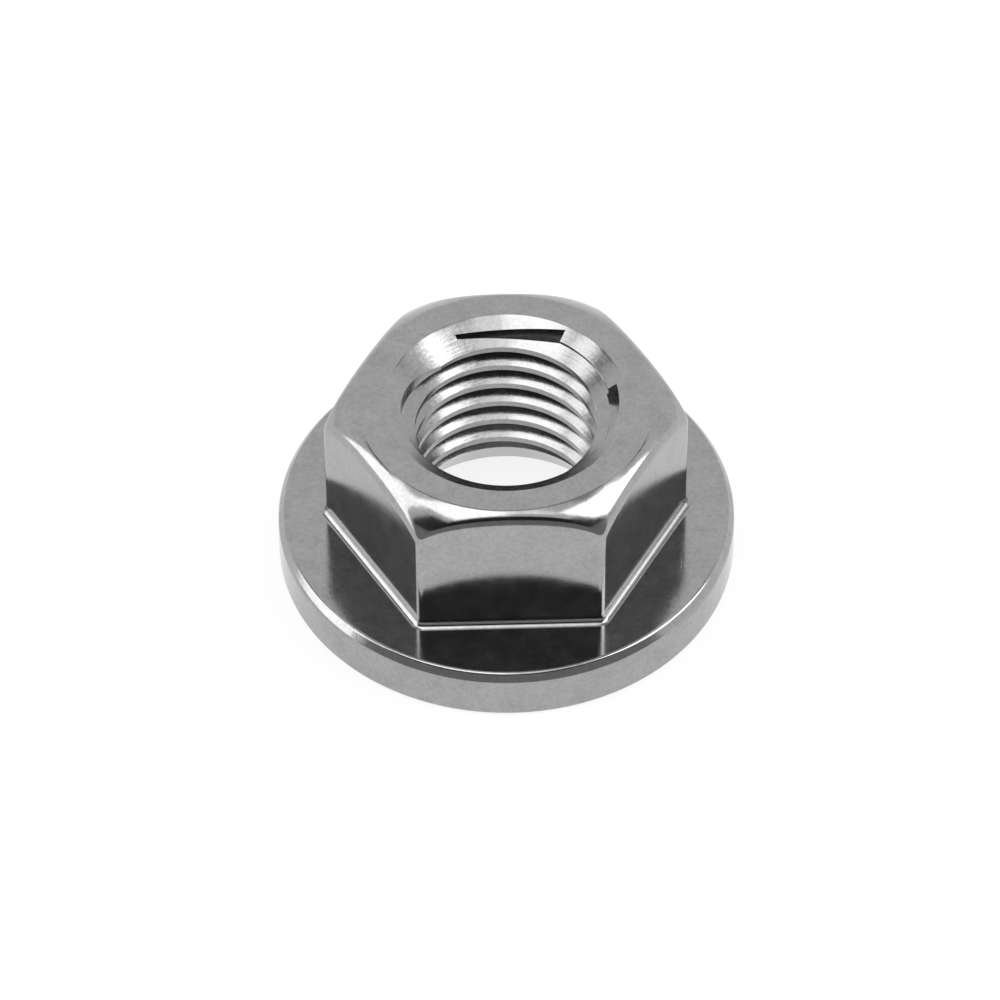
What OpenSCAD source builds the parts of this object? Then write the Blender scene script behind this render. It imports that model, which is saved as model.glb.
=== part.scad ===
// Hexagon flange nut, forged in one piece with its flange.
// It is drawn the way it is shaped: a turned blank, three pairs of flats, and a bore.
// The origin is the centre of the bearing face, and +Z runs up the thread's axis.
// Two of the hexagon's corners lie on the X axis.

/* [Hexagon] */
// Width across two opposite flats
across_flats = 15; // [14:0.1:16]
// Width across two opposite corners, which are turned round
across_corners = 17.2; // [16.4:0.05:18.4]
// Height from the bearing face to the top face
nut_h = 9.9; // [8.5:0.1:11]
// Radius of the fillet round the hexagon's foot
root_r = 0.5; // [0.2:0.05:0.8]
// Diameter of the level ring on the top face, where the crown starts to fall away
top_ring_d = 13.9; // [13:0.1:14.6]
// Slope of the barrel-shaped crown below level where it leaves the ring, in degrees
crown_ring_angle = 23; // [10:1:35]
// Slope of the crown where it reaches the corners, in degrees
crown_corner_angle = 60; // [45:1:70]

/* [Flange] */
// Diameter of the flange
flange_d = 21.8; // [20.4:0.1:24]
// Thickness of the flange
flange_h = 2.6; // [1.8:0.1:3.4]
// Radius of the rim's upper shoulder
shoulder_r = 0.55; // [0.2:0.05:0.8]
// Radius of the edge round the bearing face
bearing_edge_r = 0.2; // [0.05:0.05:0.5]

/* [Thread] */
// Nominal diameter of the thread
thread_d = 10; // [8:0.25:10.5]
// Pitch of the thread
thread_pitch = 1.25; // [0.75:0.05:1.75]

/* [Countersinks] */
// Diameter of the countersink's mouth in the top face
top_mouth_d = 11.4; // [11:0.1:12.6]
// Included angle of the top countersink
top_sink_angle = 120; // [90:5:130]
// Diameter of the countersink's mouth in the bearing face
bottom_mouth_d = 11.3; // [11:0.1:12.6]
// Included angle of the countersink in the bearing face
bottom_sink_angle = 60; // [50:5:110]

/* [Hidden] */

// Facets of a full turn, where a round form is shown
$fn = 96;
// Turn from one pair of flats to the next
FLATS_TURN = 60;
// How far a cut runs past the face that it opens
clear = 0.5;

// Distances from the axis to a flat and to the turned corners
flat_r = across_flats / 2;
corner_reach = across_corners / 2;
// Radii of the flange and of the level ring on the top face
flange_r = flange_d / 2;
top_ring_r = top_ring_d / 2;
// Height at which the root fillet has run out into the hexagon
root_z = flange_h + root_r;
// Radius and centre of the arc that bends the crown from one slope to the other
crown_r = (corner_reach - top_ring_r) / (sin(crown_corner_angle) - sin(crown_ring_angle));
crown_x = top_ring_r - crown_r * sin(crown_ring_angle);
crown_z = nut_h - crown_r * cos(crown_ring_angle);
// Radius of the drilled hole: the minor radius of an ISO metric internal thread
minor_r = (thread_d - 1.0825 * thread_pitch) / 2;
// Radii of the two countersinks' mouths
top_mouth_r = top_mouth_d / 2;
bottom_mouth_r = bottom_mouth_d / 2;
// Heights at which the countersinks run into the drilled hole
top_sink_z = nut_h - (top_mouth_r - minor_r) / tan(top_sink_angle / 2);
bottom_sink_z = (bottom_mouth_r - minor_r) / tan(bottom_sink_angle / 2);

// Half section of the flange, with a rounded shoulder and a small radius at the bearing face
module flange_section() {
    shoulder_z = flange_h - shoulder_r;
    square([flange_r - shoulder_r, flange_h]);
    translate([0, bearing_edge_r]) square([flange_r, shoulder_z - bearing_edge_r]);
    square([flange_r - bearing_edge_r, shoulder_z]);
    translate([flange_r - shoulder_r, shoulder_z]) circle(r = shoulder_r);
    translate([flange_r - bearing_edge_r, bearing_edge_r]) circle(r = bearing_edge_r);
}

// Half section of a foot that stands on the bearing face and reaches face_r,
// with the root fillet between its face and the top of the flange
module foot_section(face_r) {
    difference() {
        square([face_r + root_r, root_z]);
        translate([face_r + root_r, root_z]) circle(r = root_r);
    }
}

// Half section of the crown: it falls away from the level ring to the corners in one arc
module crown_section() {
    square([crown_x, nut_h]);
    intersection() {
        square([corner_reach, nut_h]);
        translate([crown_x, crown_z]) circle(r = crown_r);
    }
}

// Half section of the turned blank: the flange, the round that leaves the corners, and the crown
module blank_section() {
    flange_section();
    foot_section(corner_reach);
    square([corner_reach, crown_z]);
    crown_section();
}

// Half section that one flat leaves: the flange at its full width, the foot and the wall above it
module flat_section() {
    square([flange_r + clear, flange_h]);
    foot_section(flat_r);
    square([flat_r, nut_h + clear]);
}

// What two opposite flats leave of the blank, with the flats facing +X and -X
module pair_of_flats() {
    rotate([90, 0, 0])
        linear_extrude(2 * (flange_r + clear), center = true) {
            flat_section();
            mirror([1, 0]) flat_section();
        }
}

// Half section of everything that is cut out along the axis: the hole and both countersinks
module bore_section() {
    top_flare = clear * tan(top_sink_angle / 2);
    bottom_flare = clear * tan(bottom_sink_angle / 2);
    polygon([
        [0, -clear],
        [bottom_mouth_r + bottom_flare, -clear],
        [minor_r, bottom_sink_z],
        [minor_r, top_sink_z],
        [top_mouth_r + top_flare, nut_h + clear],
        [0, nut_h + clear]
    ]);
}

module flange_nut() {
    color([0.62, 0.62, 0.63])
        difference() {
            intersection() {
                rotate_extrude() blank_section();
                rotate(FLATS_TURN / 2) pair_of_flats();
                rotate(FLATS_TURN * 3 / 2) pair_of_flats();
                rotate(FLATS_TURN * 5 / 2) pair_of_flats();
            }
            rotate_extrude() bore_section();
        }
}

flange_nut();
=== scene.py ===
"""Looks of the flange nut: one polished steel nut with a real thread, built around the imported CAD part."""

import math

import bmesh
import bpy
from mathutils import Matrix, Vector


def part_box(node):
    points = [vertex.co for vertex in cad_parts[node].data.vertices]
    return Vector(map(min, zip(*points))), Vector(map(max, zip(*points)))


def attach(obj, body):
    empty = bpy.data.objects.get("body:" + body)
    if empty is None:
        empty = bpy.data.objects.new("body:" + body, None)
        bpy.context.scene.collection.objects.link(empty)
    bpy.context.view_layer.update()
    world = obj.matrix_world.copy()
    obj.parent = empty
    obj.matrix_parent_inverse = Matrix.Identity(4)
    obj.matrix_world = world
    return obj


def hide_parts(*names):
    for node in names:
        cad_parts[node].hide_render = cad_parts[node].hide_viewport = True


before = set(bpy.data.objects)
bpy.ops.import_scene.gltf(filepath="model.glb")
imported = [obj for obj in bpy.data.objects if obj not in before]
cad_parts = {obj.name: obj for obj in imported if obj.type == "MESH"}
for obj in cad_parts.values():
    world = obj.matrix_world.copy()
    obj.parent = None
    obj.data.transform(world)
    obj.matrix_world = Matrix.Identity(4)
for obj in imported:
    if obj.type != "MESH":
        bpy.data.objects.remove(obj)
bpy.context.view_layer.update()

MM = 0.001

# Sizes of the nut. Its height and its flange's radius come from the CAD part, and the others repeat
# part.scad.
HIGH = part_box("flange_nut")[1]
NUT_H = HIGH.z
FLANGE_R = HIGH.x
FLANGE_H = 2.6 * MM
FLAT_R = 7.5 * MM
CORNER_R = 8.6 * MM
TOP_RING_R = 6.95 * MM
CROWN_RING_SLOPE = math.radians(23)
CROWN_CORNER_SLOPE = math.radians(60)
CROWN_R = (CORNER_R - TOP_RING_R) / (math.sin(CROWN_CORNER_SLOPE) - math.sin(CROWN_RING_SLOPE))
THREAD_R = 5.0 * MM
THREAD_PITCH = 1.25 * MM
TOP_MOUTH_R = 5.7 * MM
BOTTOM_MOUTH_R = 5.65 * MM
TOP_SINK_HALF_ANGLE = math.radians(60)
BOTTOM_SINK_HALF_ANGLE = math.radians(30)

# An ISO metric internal thread: its depth, its minor radius, the flat at its root, and half its angle
THREAD_DEPTH = 0.54127 * THREAD_PITCH
MINOR_R = THREAD_R - THREAD_DEPTH
ROOT_FLAT = THREAD_PITCH / 8
THREAD_HALF_ANGLE = math.radians(30)
TOP_SINK_Z = NUT_H - (TOP_MOUTH_R - MINOR_R) / math.tan(TOP_SINK_HALF_ANGLE)
BOTTOM_SINK_Z = (BOTTOM_MOUTH_R - MINOR_R) / math.tan(BOTTOM_SINK_HALF_ANGLE)

# The groove starts below the nut, above the X axis. After TURNS_TO_BACK turns it passes the back of the
# bore, BACK_DROP below the top face.
GROOVE_TURNS = 11
TURNS_TO_BACK = 9.25
BACK_DROP = 0.36 * MM
GROOVE_START_Z = NUT_H - BACK_DROP - TURNS_TO_BACK * THREAD_PITCH
# The groove's cutter starts this far inside the drilled hole, and has this many steps in a turn
GROOVE_CLEAR = 0.1 * MM
HELIX_STEPS = 216

# The tap has taken the first crest away on the near half, so the countersink ends in the groove there.
# The cut follows the groove after its first ENTRY_TURNS turns, from a run-in at the left to an abrupt end
# at the right. Azimuths are in degrees, with 90 at the back.
ENTRY_TURNS = 8
ENTRY_START, ENTRY_FULL, ENTRY_END = 121, 180, 416.5
ENTRY_WALL_R = 4.975 * MM
ENTRY_HEIGHT = 1.1 * MM
# A chip is torn out of the countersink at the back. Its wall is an arc flatter than the bore, and it gets
# narrower from right to left.
CHIP_START, CHIP_END = 57.5, 116
CHIP_WALL_R = 9.5 * MM
CHIP_WALL_CENTRE = Vector((0.3, -4.45)) * MM
CHIP_WIDE, CHIP_NARROW = 0.53 * MM, 0.22 * MM
# A thinner one at the right runs towards the front along the end of the countersink
SIDE_CHIP_START, SIDE_CHIP_END = -26, 12.5
SIDE_CHIP_INNER_R = 4.9 * MM
SIDE_CHIP_THIN_R, SIDE_CHIP_WIDE_R = 5.15 * MM, 5.38 * MM
# Height of the floor of both chips
CHIP_FLOOR_Z = 8.95 * MM
# Radius inside the bore at which a cutter ends, and the turn between two of its sections in degrees
CUTTER_INNER_R = 4 * MM
CUTTER_STEP = 3

# Radii of the edges. The one round the bearing face repeats part.scad, and the others are softer or
# sharper than the solid's, to match the photograph.
CORNER_SOFT = 0.4 * MM
ROOT_SOFT = 0.32 * MM
CROWN_SOFT = 0.9 * MM
RING_SOFT = 0.2 * MM
MOUTH_SOFT = 0.06 * MM
SHOULDER_TOP_SOFT = 0.2 * MM
SHOULDER_SIDE_SOFT = 0.45 * MM
BEARING_SOFT = 0.2 * MM
# The flange's shoulder falls away at this slope between its two radii
SHOULDER_SLOPE = math.radians(55)
SHOULDER_WIDTH = 0.3 * MM

# Steps round the outline: on each corner of the hexagon, and on each flat
CORNER_STEPS = 10
FLAT_STEPS = 26
# Steps down the crown, from level to upright
CROWN_STEPS = 30
# A row of faces this narrow beside a soft edge keeps the face next to it flat in reflections
SUPPORT = 0.02 * MM
# Faces that meet at more than this are shaded with a crisp edge
CRISP_ANGLE = math.radians(24)

# Patterns in the steel, and how many of each lie across a metre
CLOUDS_PER_METRE = 900.0
MOTTLES_PER_METRE = 4500.0
GRAINS_PER_METRE = 14000.0
PITS_PER_METRE = 1400.0
TAP_LINES_PER_METRE = 14000.0
# Sets of scratches: their direction in degrees, and how many streaks lie across a metre
SCRATCHES = [(24, 14000.0), (-52, 11000.0)]
# How many streaks follow one another along a metre, and from where to where on their noise they show
STREAKS_ALONG = 500.0
STREAK_FAINT, STREAK_FULL = 0.66, 0.76
# How far a pit reaches in its cell, and from where to where on the clouds there are pits
PIT_REACH = 0.1
PITTED_FAINT, PITTED_FULL = 0.54, 0.6
# Height of a bump of 1, and how high or deep each pattern stands on that scale
GRAIN_DEPTH = 0.0012 * MM
MOTTLE_HEIGHT, GRAIN_HEIGHT, TAP_LINE_HEIGHT = 0.9, 0.5, 1.6
SCRATCH_DEPTH, PIT_DEPTH = 0.35, 2.5
# The steel's tones from dark to light, each with its place on the ramp, and what moves them along it
STEEL_TONES = [(0.34, 0.3), (0.62, 0.4)]
CLOUD_TONE, MOTTLE_TONE, GRAIN_TONE, PIT_TONE = 0.3, 0.4, 0.3, 0.3
# Roughness of the bare polish, and what each pattern adds to it. The bore has some more everywhere.
POLISH_ROUGH, CLOUD_ROUGH, MOTTLE_ROUGH, PIT_ROUGH = 0.07, 0.07, 0.05, 0.1
BORE_ROUGH, BORE_MOTTLE_ROUGH = 0.01, 0.07

# Distance of the softboxes and cards from the nut
DOME_R = 280 * MM
# Softboxes: name, strength, and the directions of their corners
SOFTBOXES = [
    ("left softbox", 2.7, ((163, 0), (199, 0), (199, 58), (163, 58))),
    ("overhead softbox", 2.9, ((186, 58), (270, 58), (270, 88), (186, 88))),
    ("overhead right softbox", 1.8, ((270, 66), (322, 66), (322, 88), (270, 88))),
    ("right softbox", 4.2, ((324, 42), (368, 5), (368, 58), (322, 66))),
]
# Cards: name, tone, and the directions of their corners
CARDS = [
    ("low camera side card", 0.5, ((203, 0), (340, 0), (330, 30), (208, 30))),
    ("high camera side card", 0.05, ((208, 30), (330, 30), (322, 52), (212, 52))),
    ("upper back card", 0.85, ((-10, 62), (165, 62), (165, 82), (-10, 82))),
    ("right back card", 0.45, ((24, 42), (42, 42), (42, 54), (24, 54))),
    ("left back card", 0.45, ((140, 42), (160, 42), (160, 54), (140, 54))),
]
SURROUND_STRENGTH = 0.9
# The floor reaches this far each way, a hair under the bearing face so that the two don't coincide
FLOOR_REACH = 1.0
FLOOR_GAP = 0.02 * MM
FLOOR_TONE, FLOOR_LIFT = 0.15, 0.86

# The camera, fitted to the photograph. The nut stands turned a little to it, so the camera turns instead.
CAMERA_ELEVATION = math.radians(47.6)
CAMERA_TURN = math.radians(-1.5)
CAMERA_ROLL = math.radians(-0.25)
CAMERA_DISTANCE = 350 * MM
LOOKED_AT = Vector((-0.30, 0, 3.04)) * MM
PIXELS_PER_MM = 20.95
PICTURE_WIDTH = 1000 / PIXELS_PER_MM * MM


def direction(turn):
    """Direction in plan, at this turn from the X axis."""
    return Vector((math.cos(turn), math.sin(turn)))


def rounded_hexagon():
    """Stations round the hexagon's outline: (point, outward direction, direction on the round parts)."""
    stations = []
    reach = (FLAT_R - CORNER_SOFT) / math.cos(math.radians(30))
    for corner in range(6):
        centre = direction(math.radians(60 * corner)) * reach
        for step in range(CORNER_STEPS + 1):
            outward = direction(math.radians(60 * corner - 30 + 60 * step / CORNER_STEPS))
            stations.append((centre + outward * CORNER_SOFT, outward))
        next_centre = direction(math.radians(60 * corner + 60)) * reach
        for step in range(1, FLAT_STEPS):
            share = 0.5 - 0.5 * math.cos(math.pi * step / FLAT_STEPS)
            stations.append((centre.lerp(next_centre, share) + outward * CORNER_SOFT, outward))
    # The round parts are divided evenly
    spacing = math.tau / len(stations)
    turns = [spacing * (k - CORNER_STEPS / 2) for k in range(len(stations))]
    return [(point, outward, direction(turn)) for (point, outward), turn in zip(stations, turns)]


def soften(before, corner, after, radius, steps):
    """Section points of a corner rounded to a radius, with a support row on either side."""
    if not radius:
        return [corner]
    into = (corner - before).normalized()
    out = (after - corner).normalized()
    turn = math.atan2(into.x * out.y - into.y * out.x, into.dot(out))
    start = corner - into * radius * math.tan(abs(turn) / 2)
    end = corner + out * radius * math.tan(abs(turn) / 2)
    side = Vector((-into.y, into.x)) * math.copysign(radius, turn)
    centre = start + side
    arm = start - centre
    points = [start - into * SUPPORT]
    for step in range(steps + 1):
        a = turn * step / steps
        x = arm.x * math.cos(a) - arm.y * math.sin(a)
        y = arm.x * math.sin(a) + arm.y * math.cos(a)
        points.append(centre + Vector((x, y)))
    points.append(end + out * SUPPORT)
    return points


def on_arc(centre, radius, slope):
    """The point of an arc where it slopes by this much: 0 faces up and a right angle faces outwards."""
    return centre + Vector((math.sin(slope), math.cos(slope))) * radius


def crown_profile(wall_r):
    """Section points from the level ring, over its edge and down the barrel-shaped crown, to the wall.

    Where the wall is near, the soft edge above it takes up the whole crown."""
    barrel_r = TOP_RING_R - CROWN_R * math.sin(CROWN_RING_SLOPE)
    barrel_z = NUT_H - CROWN_R * math.cos(CROWN_RING_SLOPE)
    barrel = Vector((barrel_r, barrel_z))
    edge_slope = math.asin((wall_r - CROWN_SOFT - barrel.x) / (CROWN_R - CROWN_SOFT))
    edge = on_arc(barrel, CROWN_R - CROWN_SOFT, edge_slope)
    first, first_r = barrel, CROWN_R
    if edge_slope < CROWN_RING_SLOPE:
        edge_slope = math.asin((TOP_RING_R - wall_r + CROWN_SOFT) / CROWN_SOFT)
        edge.y = NUT_H - CROWN_SOFT * math.cos(edge_slope)
        first, first_r = edge, CROWN_SOFT
    ring_slope = math.acos((NUT_H - RING_SOFT - first.y) / (first_r - RING_SOFT))
    ring = on_arc(first, first_r - RING_SOFT, ring_slope)
    points = []
    for step in range(CROWN_STEPS + 1):
        slope = math.pi / 2 * step / CROWN_STEPS
        if slope < ring_slope:
            points.append(on_arc(ring, RING_SOFT, slope))
        elif slope < edge_slope:
            points.append(on_arc(barrel, CROWN_R, slope))
        else:
            points.append(on_arc(edge, CROWN_SOFT, slope))
    return [points[0] - Vector((SUPPORT, 0))] + points + [points[-1] - Vector((0, SUPPORT))]


def nut_section(wall_r):
    """Corners of the half section where the wall stands wall_r from the axis.

    Each is (zone, distance from the axis, height, edge radius, steps), from the top mouth outwards and
    down, under the bearing face and back up the bore. The crown has points of its own."""
    shoulder_z = FLANGE_H - SHOULDER_WIDTH * math.tan(SHOULDER_SLOPE)
    return [
        ("round", TOP_MOUTH_R, NUT_H, MOUTH_SOFT, 3),
        ("crown", wall_r, NUT_H, 0, 0),
        ("root", wall_r, FLANGE_H, ROOT_SOFT, 12),
        ("round", FLANGE_R - SHOULDER_WIDTH, FLANGE_H, SHOULDER_TOP_SOFT, 8),
        ("round", FLANGE_R, shoulder_z, SHOULDER_SIDE_SOFT, 6),
        ("round", FLANGE_R, 0, BEARING_SOFT, 8),
        ("round", BOTTOM_MOUTH_R, 0, MOUTH_SOFT, 4),
        ("round", MINOR_R, BOTTOM_SINK_Z, 0, 0),
        ("round", MINOR_R, TOP_SINK_Z, 0, 0),
    ]


def place(station, zone, r, z):
    """The section's point (r, z) in space: round parts follow the circle, the root follows the wall."""
    point, outward, on_circle = station
    if zone == "round":
        plan = on_circle * r
    elif zone == "crown":
        plan = point.normalized() * r
    else:
        plan = point + outward * (r - point.length)
    return Vector((plan.x, plan.y, z))


def turned_blank():
    """The nut without its thread, as one closed mesh swept round the hexagon's outline."""
    columns = []
    for station in rounded_hexagon():
        section = nut_section(station[0].length)
        corners = [Vector((r, z)) for _, r, z, _, _ in section]
        column = []
        for k, (zone, _, _, radius, steps) in enumerate(section):
            if zone == "crown":
                points = crown_profile(corners[k].x)
            else:
                points = soften(corners[k - 1], corners[k], corners[(k + 1) % len(corners)], radius, steps)
            column += [place(station, zone, p.x, p.y) for p in points]
        columns.append(column)
    rows = len(columns[0])
    faces = []
    for i in range(len(columns)):
        j = (i + 1) % len(columns)
        for k in range(rows):
            m = (k + 1) % rows
            faces.append((i * rows + k, i * rows + m, j * rows + m, j * rows + k))
    mesh = bpy.data.meshes.new("nut")
    mesh.from_pydata([p for column in columns for p in column], [], faces)
    mesh.shade_smooth()
    return mesh


def top_groove_z(azimuth):
    """Height of the groove's middle on the last turn that runs all the way under the countersink."""
    return GROOVE_START_Z + THREAD_PITCH * (ENTRY_TURNS + azimuth / 360)


def top_cone_z(r):
    """Height of the top countersink's face at a distance from the axis."""
    return NUT_H - (TOP_MOUTH_R - r) / math.tan(TOP_SINK_HALF_ANGLE)


def entry_section(azimuth):
    """Section of the entry cut: it clears the wall from the middle of the groove up into the countersink."""
    share = min((azimuth - ENTRY_START) / (ENTRY_FULL - ENTRY_START), 1)
    reach = (ENTRY_WALL_R - CUTTER_INNER_R) * math.sin(share * math.pi / 2)
    wall_r = CUTTER_INNER_R + max(reach, SUPPORT)
    low = top_groove_z(azimuth)
    high = low + ENTRY_HEIGHT
    return [(CUTTER_INNER_R, low), (wall_r, low), (wall_r, high), (CUTTER_INNER_R, high)]


def chip_section(azimuth):
    """Section of the chip at the back: upright walls, and a floor below the countersink."""
    along = CHIP_WALL_CENTRE.dot(direction(math.radians(azimuth)))
    outer_r = along + math.sqrt(along ** 2 - CHIP_WALL_CENTRE.length_squared + CHIP_WALL_R ** 2)
    share = (azimuth - CHIP_START) / (CHIP_END - CHIP_START)
    inner_r = outer_r - CHIP_WIDE + (CHIP_WIDE - CHIP_NARROW) * share
    return upright_section(inner_r, outer_r)


def side_chip_section(azimuth):
    """Section of the chip at the right, which widens towards the back."""
    share = (azimuth - SIDE_CHIP_START) / (SIDE_CHIP_END - SIDE_CHIP_START)
    outer_r = SIDE_CHIP_THIN_R + (SIDE_CHIP_WIDE_R - SIDE_CHIP_THIN_R) * math.sqrt(share)
    return upright_section(SIDE_CHIP_INNER_R, outer_r)


def upright_section(inner_r, outer_r):
    """A section between upright walls, from the chips' floor to where the outer one leaves the metal."""
    high = top_cone_z(outer_r) + 2 * SUPPORT
    return [(inner_r, CHIP_FLOOR_Z), (outer_r, CHIP_FLOOR_Z), (outer_r, high), (inner_r, high)]


def ring_cutter(name, start, end, section):
    """A closed cutter that runs round the axis between two azimuths, with the section given for each."""
    steps = math.ceil((end - start) / CUTTER_STEP)
    points = []
    for k in range(steps + 1):
        azimuth = start + (end - start) * k / steps
        turn = math.radians(azimuth)
        points += [(r * math.cos(turn), r * math.sin(turn), z) for r, z in section(azimuth)]
    side = len(section(start))
    faces = [tuple(range(side)), tuple(steps * side + m for m in reversed(range(side)))]
    for k in range(steps):
        for m in range(side):
            first, second = k * side + m, k * side + (m + 1) % side
            faces.append((first, first + side, second + side, second))
    mesh = bpy.data.meshes.new(name)
    mesh.from_pydata(points, [], faces)
    shell = bmesh.new()
    shell.from_mesh(mesh)
    bmesh.ops.recalc_face_normals(shell, faces=shell.faces)
    shell.to_mesh(mesh)
    shell.free()
    cutter = bpy.data.objects.new(name, mesh)
    bpy.context.scene.collection.objects.link(cutter)
    return cutter


def cut_away(blank, cutters):
    """Takes the cutters out of the blank. They are still needed until the thread has been cut as well."""
    for cutter in cutters:
        modifier = blank.modifiers.new(cutter.name, "BOOLEAN")
        modifier.operation = "DIFFERENCE"
        modifier.solver = "EXACT"
        modifier.object = cutter


def tree_input(tree, name, value, kind="NodeSocketFloat"):
    """Adds a named input to a geometry tree and returns its identifier with the value it is to have."""
    socket = tree.interface.new_socket(name, in_out="INPUT", socket_type=kind)
    return socket.identifier, value


class Nodes:
    """A node tree that is written as expressions."""

    def __init__(self, tree):
        self.tree = tree
        tree.nodes.clear()

    def add(self, kind, settings=None, inputs=None, out=0):
        """Adds a node: its settings first, then the values or wires of its sockets."""
        node = self.tree.nodes.new(kind)
        for name, value in (settings or {}).items():
            if name == "stops":
                ramp = node.color_ramp
                while len(ramp.elements) < len(value):
                    ramp.elements.new(0.5)
                for element, (at, tone) in zip(ramp.elements, value):
                    element.position = at
                    element.color = (tone, tone, tone, 1)
            else:
                setattr(node, name, value)
        for key, value in (inputs or {}).items():
            socket = node.inputs[key] if isinstance(key, int) else self.socket(node, key)
            if isinstance(value, Wire):
                self.tree.links.new(value.socket, socket)
            else:
                socket.default_value = value
        return Wire(self, node.outputs[out]) if node.outputs else node

    def socket(self, node, name):
        return next(s for s in node.inputs if s.enabled and name in (s.name, s.identifier))

    def math(self, operation, *values):
        return self.add("ShaderNodeMath", {"operation": operation}, dict(enumerate(values)))

    def noise(self, vector, scale, detail, roughness=0.5):
        return self.add("ShaderNodeTexNoise", None,
                        {"Vector": vector, "Scale": scale, "Detail": detail, "Roughness": roughness})

    def between(self, value, none, full):
        """0 up to one value, 1 from the other, and a straight rise in between. Either may be the larger."""
        return self.add("ShaderNodeMapRange", None, {"Value": value, "From Min": none, "From Max": full})


class Wire:
    """A node's output. Arithmetic on it adds Math nodes."""

    def __init__(self, nodes, socket):
        self.nodes = nodes
        self.socket = socket

    def output(self, name):
        return Wire(self.nodes, self.socket.node.outputs[name])

    def __add__(self, other):
        return self.nodes.math("ADD", self, other)

    def __sub__(self, other):
        return self.nodes.math("SUBTRACT", self, other)

    def __mul__(self, other):
        return self.nodes.math("MULTIPLY", self, other)

    def __rsub__(self, other):
        return self.nodes.math("SUBTRACT", other, self)

    __radd__ = __add__
    __rmul__ = __mul__


def tapped_thread(blank, material):
    """Cuts the right-hand thread into the blank's bore, by sweeping the groove's section along a helix."""
    tree = bpy.data.node_groups.new("tapped thread", "GeometryNodeTree")
    values = dict([
        tree_input(tree, "Geometry", None, "NodeSocketGeometry"),
        tree_input(tree, "Pitch", THREAD_PITCH),
        tree_input(tree, "Turns", float(GROOVE_TURNS)),
        tree_input(tree, "Inner Radius", MINOR_R - GROOVE_CLEAR),
        tree_input(tree, "Root Radius", THREAD_R),
        tree_input(tree, "Root Flat", ROOT_FLAT),
        tree_input(tree, "Start Height", GROOVE_START_Z),
        tree_input(tree, "Material", material, "NodeSocketMaterial"),
    ])
    tree.interface.new_socket("Geometry", in_out="OUTPUT", socket_type="NodeSocketGeometry")
    n = Nodes(tree)
    given = n.add("NodeGroupInput")
    pitch, turn_count = given.output("Pitch"), given.output("Turns")
    inner, root = given.output("Inner Radius"), given.output("Root Radius")
    root_flat = given.output("Root Flat")
    depth = root - inner
    middle = (root + inner) * 0.5
    mouth = root_flat + depth * (2 * math.tan(THREAD_HALF_ANGLE))
    groove = n.add("GeometryNodeCurvePrimitiveQuadrilateral", {"mode": "TRAPEZOID"},
                   {"Height": depth, "Bottom Width": mouth, "Top Width": root_flat, "Offset": 0.0})
    outwards = n.add("GeometryNodeTransform", None, {"Geometry": groove, "Rotation": (0, 0, -math.pi / 2)})
    helix = n.add("GeometryNodeCurveSpiral", None,
                  {"Resolution": HELIX_STEPS, "Rotations": turn_count, "Start Radius": middle,
                   "End Radius": middle, "Height": pitch * turn_count, "Reverse": True})
    upright = n.add("GeometryNodeSetCurveNormal", {"mode": "Z_UP"}, {"Curve": helix})
    cutter = n.add("GeometryNodeCurveToMesh", None,
                   {"Curve": upright, "Profile Curve": outwards, "Fill Caps": True})
    lift = n.add("ShaderNodeCombineXYZ", None, {"Z": given.output("Start Height")})
    placed = n.add("GeometryNodeTransform", None, {"Geometry": cutter, "Translation": lift})
    cut = n.add("GeometryNodeMeshBoolean", {"operation": "DIFFERENCE", "solver": "EXACT"},
                {0: given.output("Geometry"), 1: placed})
    real = n.add("GeometryNodeRealizeInstances", None, {"Geometry": cut})
    coated = n.add("GeometryNodeSetMaterial", None,
                   {"Geometry": real, "Material": given.output("Material")})
    n.add("NodeGroupOutput", None, {0: coated})

    modifier = blank.modifiers.new("tapped thread", "NODES")
    modifier.node_group = tree
    for identifier, value in values.items():
        if value is not None:
            modifier[identifier] = value
    bpy.context.view_layer.update()
    graph = bpy.context.evaluated_depsgraph_get()
    mesh = bpy.data.meshes.new_from_object(blank.evaluated_get(graph))
    blank.modifiers.clear()
    return mesh


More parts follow.
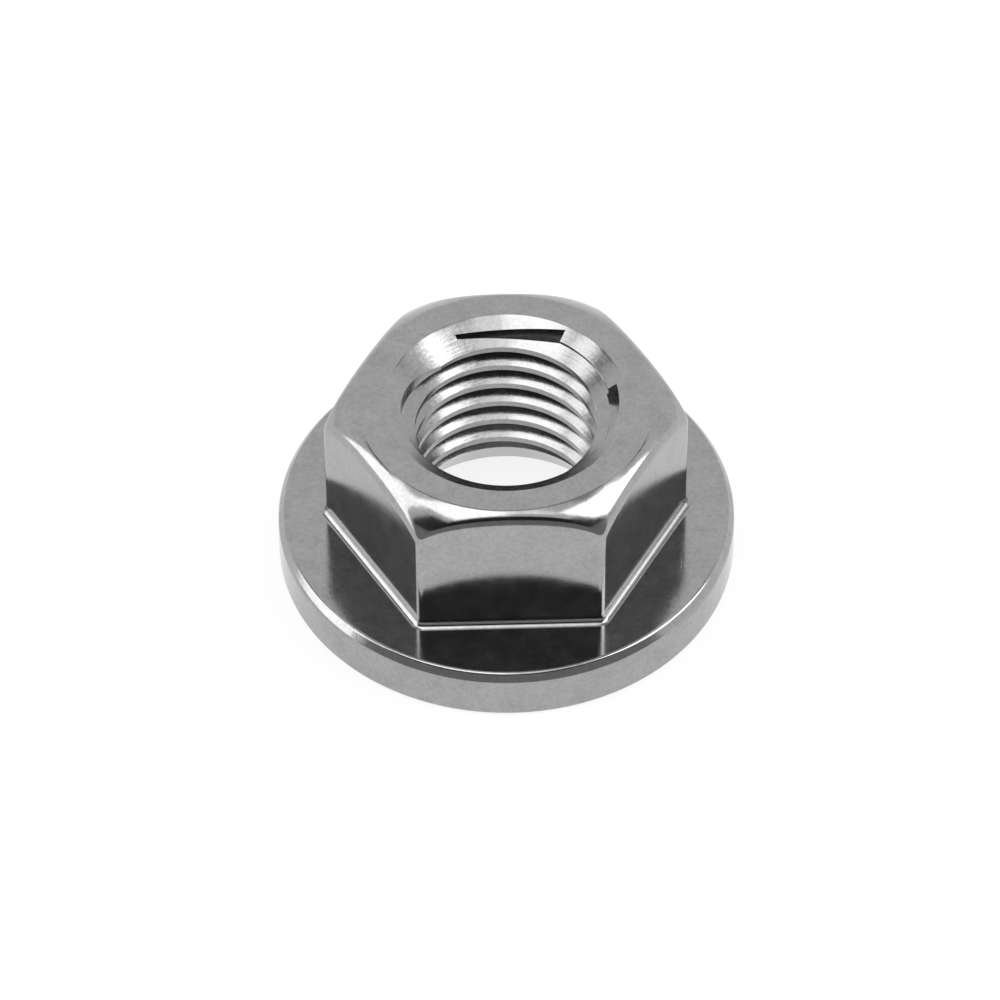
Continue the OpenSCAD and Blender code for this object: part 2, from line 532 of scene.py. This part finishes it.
def bright_steel():
    """Polished plated steel: mottled and grainy up close, with fine scratches and a few small pits."""
    material = bpy.data.materials.new("bright_steel")
    material.use_nodes = True
    n = Nodes(material.node_tree)
    on_part = n.add("ShaderNodeTexCoord").output("Object")
    cloud = n.noise(on_part, CLOUDS_PER_METRE, detail=2.0)
    mottle = n.noise(on_part, MOTTLES_PER_METRE, detail=2.0, roughness=0.65)
    grain = n.noise(on_part, GRAINS_PER_METRE, detail=1.0)

    scratches = 0.0
    for turn, across in SCRATCHES:
        laid = n.add("ShaderNodeMapping", None,
                     {"Vector": on_part, "Rotation": (0, 0, math.radians(turn)),
                      "Scale": (across, STREAKS_ALONG, STREAKS_ALONG)})
        streaks = n.noise(laid, scale=1.0, detail=1.0)
        scratches = scratches + n.between(streaks, STREAK_FAINT, STREAK_FULL)

    # The tap has left fine lines in the bore and its countersinks, from just inside the top mouth
    flat = n.add("ShaderNodeVectorMath", {"operation": "MULTIPLY"}, {0: on_part, 1: (1.0, 1.0, 0.0)})
    from_axis = n.add("ShaderNodeVectorMath", {"operation": "LENGTH"}, {0: flat}, out=1)
    in_bore = n.between(from_axis, TOP_MOUTH_R, TOP_MOUTH_R - 2 * MOUTH_SOFT)
    height_on_part = n.add("ShaderNodeSeparateXYZ", None, {0: on_part}, out=2)
    tap_lines = n.add("ShaderNodeTexNoise", {"noise_dimensions": "1D"},
                      {"W": height_on_part, "Scale": TAP_LINES_PER_METRE, "Detail": 2.0})

    # Pits are round hollows, and gather where the clouds are light
    cells = n.add("ShaderNodeTexVoronoi", None, {"Vector": on_part, "Scale": PITS_PER_METRE})
    pits = n.between(cells, PIT_REACH, 0.0) * n.between(cloud, PITTED_FAINT, PITTED_FULL)

    height = mottle * MOTTLE_HEIGHT + grain * GRAIN_HEIGHT - scratches * SCRATCH_DEPTH - pits * PIT_DEPTH
    height = height + in_bore * (tap_lines * TAP_LINE_HEIGHT + mottle)
    bump = n.add("ShaderNodeBump", None, {"Strength": 1.0, "Distance": GRAIN_DEPTH, "Height": height})
    lightness = cloud * CLOUD_TONE + mottle * MOTTLE_TONE + grain * GRAIN_TONE - pits * PIT_TONE
    tone = n.add("ShaderNodeValToRGB", {"stops": STEEL_TONES}, {"Fac": lightness})
    roughness = POLISH_ROUGH + CLOUD_ROUGH * cloud + MOTTLE_ROUGH * mottle + PIT_ROUGH * pits
    roughness = roughness + in_bore * (BORE_ROUGH + BORE_MOTTLE_ROUGH * mottle)
    steel = n.add("ShaderNodeBsdfPrincipled", None,
                  {"Base Color": tone, "Metallic": 1.0, "Roughness": roughness, "Normal": bump})
    n.add("ShaderNodeOutputMaterial", None, {"Surface": steel})
    return material


def flange_nut():
    """The nut itself: it replaces the CAD solid, whose thread is a plain hole."""
    steel = bright_steel()
    blank = bpy.data.objects.new("blank", turned_blank())
    bpy.context.scene.collection.objects.link(blank)
    cutters = [
        ring_cutter("entry cut", ENTRY_START, ENTRY_END, entry_section),
        ring_cutter("chip", CHIP_START, CHIP_END, chip_section),
        ring_cutter("side chip", SIDE_CHIP_START, SIDE_CHIP_END, side_chip_section),
    ]
    cut_away(blank, cutters)
    mesh = tapped_thread(blank, steel)
    for tool in [blank, *cutters]:
        bpy.data.objects.remove(tool)
    mesh.name = "polished_nut"
    mesh.set_sharp_from_angle(angle=CRISP_ANGLE)
    nut = bpy.data.objects.new("polished_nut", mesh)
    bpy.context.scene.collection.objects.link(nut)
    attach(nut, "root")
    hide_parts("flange_nut")


def plain_material(name, tone, lift=0.0):
    """A matt material of one tone. The lift is what the camera and mirrors see on top of it."""
    material = bpy.data.materials.new(name)
    material.use_nodes = True
    n = Nodes(material.node_tree)
    matt = n.add("ShaderNodeBsdfDiffuse", None, {"Color": (tone, tone, tone, 1)})
    if lift:
        path = n.add("ShaderNodeLightPath")
        seen = path.output("Is Camera Ray") + path.output("Is Glossy Ray")
        seen = seen + path.output("Is Transmission Ray")
        glow = n.add("ShaderNodeEmission", None, {"Color": (1, 1, 1, 1), "Strength": seen * lift})
        matt = n.add("ShaderNodeAddShader", None, {0: matt, 1: glow})
    n.add("ShaderNodeOutputMaterial", None, {"Surface": matt})
    return material


def glowing_material(name, strength):
    """The white cloth of a softbox."""
    material = bpy.data.materials.new(name)
    material.use_nodes = True
    n = Nodes(material.node_tree)
    glow = n.add("ShaderNodeEmission", None, {"Color": (1, 1, 1, 1), "Strength": strength})
    n.add("ShaderNodeOutputMaterial", None, {"Surface": glow})
    return material


def dome_panel(name, corners, material, steps=12):
    """A panel bent round the nut, which the camera doesn't see. Its corners are directions from the nut.

    They are given as (azimuth, elevation) in degrees, in the order low left, low right, high right, high
    left, as seen from outside the dome, where azimuths grow to the right."""
    low_left, low_right, high_right, high_left = (Vector(corner) for corner in corners)
    points = []
    for i in range(steps + 1):
        for j in range(steps + 1):
            low = low_left.lerp(low_right, j / steps)
            high = high_left.lerp(high_right, j / steps)
            turn, rise = (math.radians(degrees) for degrees in low.lerp(high, i / steps))
            level = DOME_R * math.cos(rise)
            points.append((level * math.cos(turn), level * math.sin(turn), DOME_R * math.sin(rise)))
    row = steps + 1
    faces = []
    for i in range(steps):
        for j in range(steps):
            first = i * row + j
            faces.append((first, first + row, first + row + 1, first + 1))
    mesh = bpy.data.meshes.new(name)
    mesh.from_pydata(points, [], faces)
    mesh.materials.append(material)
    panel = bpy.data.objects.new(name, mesh)
    bpy.context.scene.collection.objects.link(panel)
    panel.visible_camera = False


def studio():
    """A pale floor, a white surround, softboxes at both sides and overhead, and cards between them."""
    mesh = bpy.data.meshes.new("floor")
    corners = [(-FLOOR_REACH, -FLOOR_REACH), (FLOOR_REACH, -FLOOR_REACH),
               (FLOOR_REACH, FLOOR_REACH), (-FLOOR_REACH, FLOOR_REACH)]
    mesh.from_pydata([(x, y, -FLOOR_GAP) for x, y in corners], [], [(0, 1, 2, 3)])
    mesh.materials.append(plain_material("floor", FLOOR_TONE, FLOOR_LIFT))
    floor = bpy.data.objects.new("floor", mesh)
    bpy.context.scene.collection.objects.link(floor)

    world = bpy.data.worlds.new("white surround")
    bpy.context.scene.world = world
    world.use_nodes = True
    n = Nodes(world.node_tree)
    sky = n.add("ShaderNodeBackground", None, {"Color": (1, 1, 1, 1), "Strength": SURROUND_STRENGTH})
    n.add("ShaderNodeOutputWorld", None, {"Surface": sky})

    for name, strength, corners in SOFTBOXES:
        dome_panel(name, corners, glowing_material(name, strength))
    for name, tone, corners in CARDS:
        dome_panel(name, corners, plain_material(name, tone))


def photo_camera():
    """The camera, tilted down at the nut and then turned round it."""
    camera = bpy.data.cameras.new("photo camera")
    camera.sensor_width = 36
    camera.lens = camera.sensor_width * CAMERA_DISTANCE / PICTURE_WIDTH
    camera.clip_start = 0.01
    camera.clip_end = 10
    holder = bpy.data.objects.new("photo camera", camera)
    back = Vector((0, -math.cos(CAMERA_ELEVATION), math.sin(CAMERA_ELEVATION)))
    seat = Matrix.Translation(LOOKED_AT + back * CAMERA_DISTANCE)
    tilt = Matrix.Rotation(math.pi / 2 - CAMERA_ELEVATION, 4, "X")
    roll = Matrix.Rotation(CAMERA_ROLL, 4, "Z")
    holder.matrix_world = Matrix.Rotation(CAMERA_TURN, 4, "Z") @ seat @ tilt @ roll
    bpy.context.scene.collection.objects.link(holder)
    bpy.context.scene.camera = holder


bpy.context.scene.view_settings.view_transform = "Standard"
flange_nut()
studio()
photo_camera()
